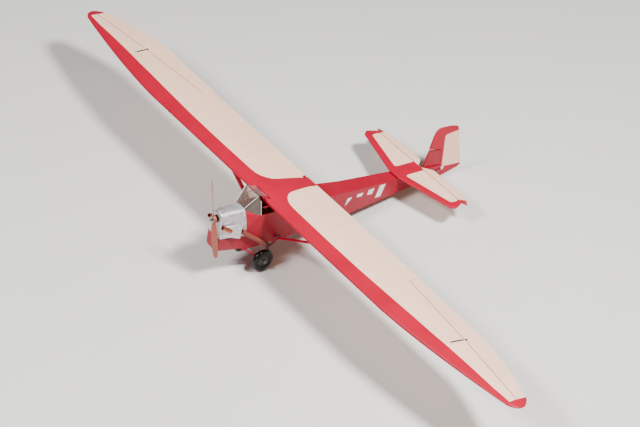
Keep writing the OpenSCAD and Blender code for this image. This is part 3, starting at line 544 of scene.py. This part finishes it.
for share in (0.35, 0.7, 1.0):
    ring = []
    for x, y, z in rim:
        away = math.hypot(x, z - thrust_z)
        hole_x, hole_z = x / away * hole_r, thrust_z + (z - thrust_z) / away * hole_r
        ring.append((x + (hole_x - x) * share, cowl_face, z + (hole_z - z) * share))
    rings.append(ring)
points, faces = loft(rings, caps=(False, False))
faces = [f for f in faces
         if not all(points[k][2] < cowl_foot + 0.1 and points[k][1] > cowl_face + 0.1 for k in f)]
cowl = make("cowl_sheet", "airframe", "cowl_aluminium", silver, points, faces, ("cowl",), crease=50)
sheet = cowl.modifiers.new("sheet_thickness", "SOLIDIFY")
sheet.thickness, sheet.offset = 0.0012, -1
soften("cylinder_fairings", "fairing_sheet", "airframe", silver, 0.6)


def lathe(profile, centre, axis, count=96):
    """Rings turned about the X or Y axis through centre; profile is (radius, along) pairs."""
    rings = []
    for k in range(count):
        a = 2 * math.pi * k / count
        turned = [(r * math.cos(a), r * math.sin(a), along) for r, along in profile]
        rings.append([(centre[0] + w, centre[1] + u, centre[2] + v) if axis == "X"
                      else (centre[0] + u, centre[1] + w, centre[2] + v) for u, v, w in turned])
    points, faces = loft(rings + [rings[0]], caps=(False, False))
    n = len(profile)
    return points[:count * n], [tuple(i % (count * n) for i in face) for face in faces]


# Propeller: two carved and varnished beech blades with a turned hub,
# held on the motor's shaft by a nut.
# Varnished beech: red-brown grain along each blade under a glossy coat
beech, tree, shader = blank("varnished_beech", Roughness=0.42, Coat_Weight=0.5, Coat_Roughness=0.15)
park = math.radians(90 - 19)
place = add(tree, "TexCoord", {}).outputs["Object"]
turned = add(tree, "Mapping", {"Vector": place, "Rotation": (0, park, 0), "Scale": (30, 600, 600)})
grain = add(tree, "TexNoise", {"Vector": turned.outputs[0], "Scale": 1.0, "Detail": 6}).outputs["Fac"]
shade = add(tree, "MixRGB", {"Fac": grain, "Color1": linear("#5E2418"), "Color2": linear("#B4563C")})
tree.links.new(shade.outputs[0], shader.inputs["Base Color"])
hub_y, reach = -168, 127
points, faces = [], []
for turn_half in (0, math.pi):
    rings = []
    for k in range(41):
        f = k / 40
        r = 6 + f * (reach - 6)
        width = (10 + 20 * math.sin(math.pi * f ** 0.8 * 0.86) + 2 * f) * 0.38
        width *= math.sqrt(max(0.02, 1 - past(f, 0.93, 1.0) ** 2))
        twist, deep = math.radians(34 * math.sqrt(f) - 48), 5.2 - 3.8 * f
        ring = []
        for i in range(20):
            a = 2 * math.pi * i / 20
            u, v = math.cos(a) * width, math.sin(a) * deep / 2 * (1 if math.sin(a) > 0 else 0.55)
            lx, ly, lz = r, u * math.cos(twist) - v * math.sin(twist), u * math.sin(twist) + v * math.cos(twist)
            a = park + turn_half
            lx, ly = lx * math.cos(a) - ly * math.sin(a), lx * math.sin(a) + ly * math.cos(a)
            ring.append((lx, hub_y + lz, thrust_z - ly))
        rings.append(ring)
    more, extra = loft(rings, start=len(points))
    points, faces = points + more, faces + extra
turned_hub = [(2.6, -5), (11.5, -5), (12.6, -4.6), (13, -3.8), (13, 3.8), (12.6, 4.6), (11.5, 5), (2.6, 5)]
more, extra = lathe(turned_hub, (0, hub_y, thrust_z), "Y", 64)
faces += [tuple(k + len(points) for k in face) for face in extra]
make("propeller_blades", "propeller", "prop_wood", beech, points + more, faces, ("propeller",), crease=35)

# Main wheels: glossy black rubber tyres on dark moulded hubs with ringed faces,
# free to turn on the axle between collars.
# Moulded rubber: near black with a broad wet-looking highlight
rubber, tree, shader = blank("polished_black_rubber", Roughness=0.24, Specular_IOR_Level=0.35)
shade = add(tree, "MixRGB", {"Fac": noise(tree, 6), "Color1": linear("#020202"), "Color2": linear("#060505")})
tree.links.new(shade.outputs[0], shader.inputs["Base Color"])
# Moulded nylon, dark grey: dull, with random pale mottling
nylon, tree, shader = blank("dull_grey_nylon", Roughness=0.5)
shade = add(tree, "MixRGB", {"Fac": noise(tree, 5), "Color1": linear("#2E2B26"), "Color2": linear("#6E6A5E")})
tree.links.new(shade.outputs[0], shader.inputs["Base Color"])
tyre = []
for k in range(41):
    a = math.radians(-145 + 290 * k / 40)
    c, s = math.cos(a), math.sin(a)
    tyre.append((27.5 + 11.5 * abs(c) ** 0.9 * (1 if c > 0 else -1), 10 * abs(s) ** 0.9 * (1 if s > 0 else -1)))
tyre = [(18.2, tyre[0][1])] + [p for p in tyre if p[0] > 18.4] + [(18.2, tyre[-1][1])]
hub = [(2.7, -11), (6.2, -11), (6.9, -10.4), (7, -6), (8, -5.2), (12.2, -5.2), (12.6, -6), (14, -6), (14.4, -5.2),
       (15, -5.4), (15.5, -7.4), (16.2, -8), (17.5, -8), (18, -7.4)]
hub = hub + [(r, -along) for r, along in reversed(hub)]
for word, side in (("left", 1), ("right", -1)):
    centre = (side * wheel_mm.x, wheel_mm.y, wheel_mm.z)
    make(word + "_tyre_moulding", word + "_wheel", "tyre_rubber", rubber, *lathe(tyre, centre, "X"),
         (word + "_tyre",))
    make(word + "_hub_moulding", word + "_wheel", "hub_grey", nylon, *lathe(hub, centre, "X"),
         (word + "_hub",), crease=30)

# Fittings: motor, linkages, legs, servos, ribs and spars, which keep the frame's own shape.
# Each row is one finish: its colours, metal, roughness and the size of its grain in mm.
for name, low_tone, high_tone, metal, rough, size_mm, members in (
    # Tarnished copper tube: warm, with darker heat stains
    ("tarnished_copper", "#8A4030", "#CC7A62", 1, (0.3, 0.55), 5, ("exhaust_stubs",)),
    # Matt brown-red pipe paint: rusty and dry
    ("baked_brown_pipe_paint", "#5C2117", "#8E4434", 0, (0.5, 0.7), 6, ("exhaust_pipes",)),
    # Drawn steel: bright with fine wear
    ("drawn_steel", "#7C7D80", "#B9BABC", 1, (0.22, 0.42), 3,
     ("motor_mount", "strut_brackets", "axle", "wheel_collars", "tail_skid", "wing_joiner", "control_hinges",
      "prop_nut", "left_aileron_pushrod", "right_aileron_pushrod", "elevator_pushrod", "rudder_pushrod")),
    # Red-dyed nylon bolt heads
    ("red_nylon_moulding", "#8A0018", "#A80422", 0, (0.4, 0.5), 4, ("wing_bolts",)),
    # Semi-gloss red paint on steel legs
    ("red_paint_on_steel", "#8A0018", "#A80422", 0, (0.3, 0.42), 12, ("undercarriage",)),
    # Sanded balsa and plywood: pale, dry
    ("sanded_balsa", "#B08C60", "#D8BC90", 0, (0.6, 0.8), 7,
     ("firewall", "equipment_tray", "cabin_bulkhead", "wing_ribs", "wing_spars")),
    # Varnished copper windings
    ("varnished_copper_wire", "#8C4A22", "#C47A44", 1, (0.3, 0.45), 1.5, ("motor_stator",)),
    # Black oxide steel: dark with a soft sheen
    ("black_oxide_steel", "#1C1C1F", "#33343A", 1, (0.3, 0.45), 4, ("motor_can",)),
    # Lacquered circuit board under clear shrink film
    ("lacquered_circuit_board", "#123018", "#1F4A2A", 0, (0.3, 0.5), 3, ("speed_controller",)),
    # Shrink-wrapped cells
    ("blue_shrink_film", "#16306A", "#24488C", 0, (0.2, 0.35), 10, ("battery",)),
    # Moulded black nylon: fine matt grain
    ("matt_black_nylon", "#141414", "#242424", 0, (0.45, 0.6), 2,
     ("receiver", "tail_servos", "aileron_servos", "left_aileron_horn", "right_aileron_horn", "elevator_horn")),
    # Moulded white nylon: slightly waxy
    ("white_nylon_moulding", "#D6D2CC", "#EAE7E2", 0, (0.35, 0.5), 3,
     ("left_servo_arm", "right_servo_arm", "elevator_servo_arm", "rudder_servo_arm", "rudder_horn")),
    # Pale plastic trim round the glazing
    ("pale_plastic_trim", "#C6BAB3", "#E2DAD4", 0, (0.4, 0.55), 4, ("glazing_frame",)),
    # Matt black panel paint
    ("matt_black_panel_paint", "#0E0E0E", "#1E1E1E", 0, (0.6, 0.75), 5, ("instrument_panel",)),
    # Brown leathercloth: soft grain
    ("brown_leathercloth", "#3E2014", "#613624", 0, (0.45, 0.65), 2.5, ("seat",)),
):
    paint, tree, shader = blank(name, Metallic=metal)
    spots = noise(tree, size_mm, 5)
    shade = add(tree, "MixRGB", {"Fac": spots, "Color1": linear(low_tone), "Color2": linear(high_tone)})
    tree.links.new(shade.outputs[0], shader.inputs["Base Color"])
    gloss = add(tree, "MapRange", {"Value": spots, "To Min": rough[0], "To Max": rough[1]}).outputs[0]
    tree.links.new(gloss, shader.inputs["Roughness"])
    for member in members:
        nodes[member].data.materials.clear()
        nodes[member].data.materials.append(paint)

# Pipe ends: painted shade for the dark hollow mouth, near black on the last 14 mm of each exhaust pipe, fading
# into the brown paint over 4 mm.
pipes = nodes["exhaust_pipes"].data.materials[0].node_tree
mouth = (to_row @ Vector((60, 19, -154))).y
across = add(pipes, "SeparateXYZ", {0: add(pipes, "TexCoord", {}).outputs["Object"]}).outputs["Y"]
# Painted shade: near black towards the pipe mouth, standing in for the shadow inside the hollow end
mouth_shade = add(pipes, "MapRange", {"Value": across, "From Min": mouth - 0.014, "From Max": mouth - 0.010}).outputs[0]
shader = pipes.nodes["Principled BSDF"]
bare = shader.inputs["Base Color"].links[0].from_socket
shade = add(pipes, "MixRGB", {"Fac": mouth_shade, "Color1": bare, "Color2": linear("#0C0A09")})
pipes.links.new(shade.outputs[0], shader.inputs["Base Color"])

# Glazing: thin clear sheet held in pale frames, a little smoky and brown with age.
# The roof pane is newer and clearer. Both keep the frame's own shape.
# Clear acetate: see-through with a brown cast and soft scratches
acetate, tree, shader = blank("smoky_clear_acetate", IOR=1.49, Transmission_Weight=0.92)
shade = add(tree, "MixRGB", {"Fac": noise(tree, 25), "Color1": linear("#B9A49A"), "Color2": linear("#D9CBC3")})
tree.links.new(shade.outputs[0], shader.inputs["Base Color"])
gloss = add(tree, "MapRange", {"Value": noise(tree, 12), "To Min": 0.05, "To Max": 0.22}).outputs[0]
tree.links.new(gloss, shader.inputs["Roughness"])
# New clear acetate on the roof pane, with no tint. Its IOR is set below acetate's 1.49, so that the
# wing's edge shows through it with little bend
clear, tree, shader = blank("new_clear_acetate", IOR=1.2, Transmission_Weight=1.0, Roughness=0.02)
haze = add(tree, "MixRGB", {"Fac": noise(tree, 25), "Color1": linear("#F6F2F0"), "Color2": linear("#FFFFFF")})
tree.links.new(haze.outputs[0], shader.inputs["Base Color"])
panes = nodes["glazing"].data
panes.materials.clear()
panes.materials.append(acetate)
panes.materials.append(clear)
from_row = to_row.inverted()
for face in panes.polygons:
    middle = from_row @ face.center
    face.material_index = int(middle.y > -34.5 and abs(middle.x) < 35.5 and middle.z > 10)

# Floor: a plain pale sheet under the wheels and the tail.
# It is part of the studio and not of the aircraft.
# Pale matt card: soft shadows and no pattern
card, tree, shader = blank("pale_matt_card", Roughness=0.8)
shade = add(tree, "MixRGB", {"Fac": noise(tree, 600), "Color1": linear("#D2D0CC"), "Color2": linear("#D9D7D3")})
tree.links.new(shade.outputs[0], shader.inputs["Base Color"])
mesh = bpy.data.meshes.new("studio_floor")
mesh.from_pydata([(-12, -12, 0), (12, -12, 0), (12, 12, 0), (-12, 12, 0)], [], [(0, 1, 2, 3)])
mesh.materials.append(card)
floor = bpy.data.objects.new("studio_floor", mesh)
bpy.context.scene.collection.objects.link(floor)

# Light: a soft key high on the left wing's side and a weaker one from ahead,
# in a pale room that fills the shadows.
for name, way, distance, size, power in (("key_light", (0.47, 0.12, 0.87), 4.5, 0.8, 400),
                                         ("front_light", (-0.05, -0.66, 0.75), 4.5, 0.9, 190)):
    lamp = bpy.data.lights.new(name, "AREA")
    lamp.shape, lamp.size, lamp.energy = "DISK", size, power
    holder = bpy.data.objects.new(name, lamp)
    holder.location = Vector(way).normalized() * distance
    holder.rotation_euler = Vector(way).to_track_quat("Z", "Y").to_euler()
    bpy.context.scene.collection.objects.link(holder)
world = bpy.data.worlds.new("pale_room")
world.use_nodes = True
world.node_tree.nodes["Background"].inputs["Color"].default_value = linear("#E8EAEC")
world.node_tree.nodes["Background"].inputs["Strength"].default_value = 0.25
bpy.context.scene.world = world

# Camera: high on the left of the nose, with a long lens,
# leaning a few degrees to one side.
lens = bpy.data.cameras.new("camera")
lens.lens, lens.sensor_width = 117.2, 36
lens.clip_end = 60
camera = bpy.data.objects.new("camera", lens)
azimuth, elevation, roll = math.radians(50.49), math.radians(40.16), math.radians(4.485)
aim = Matrix.Rotation(azimuth, 4, "Z") @ Matrix.Rotation(math.pi / 2 - elevation, 4, "X")
aim = aim @ Matrix.Rotation(roll, 4, "Z")
camera.matrix_world = Matrix.Translation((3.92175, -3.30943, 4.35447)) @ aim
bpy.context.scene.collection.objects.link(camera)
bpy.context.scene.camera = camera
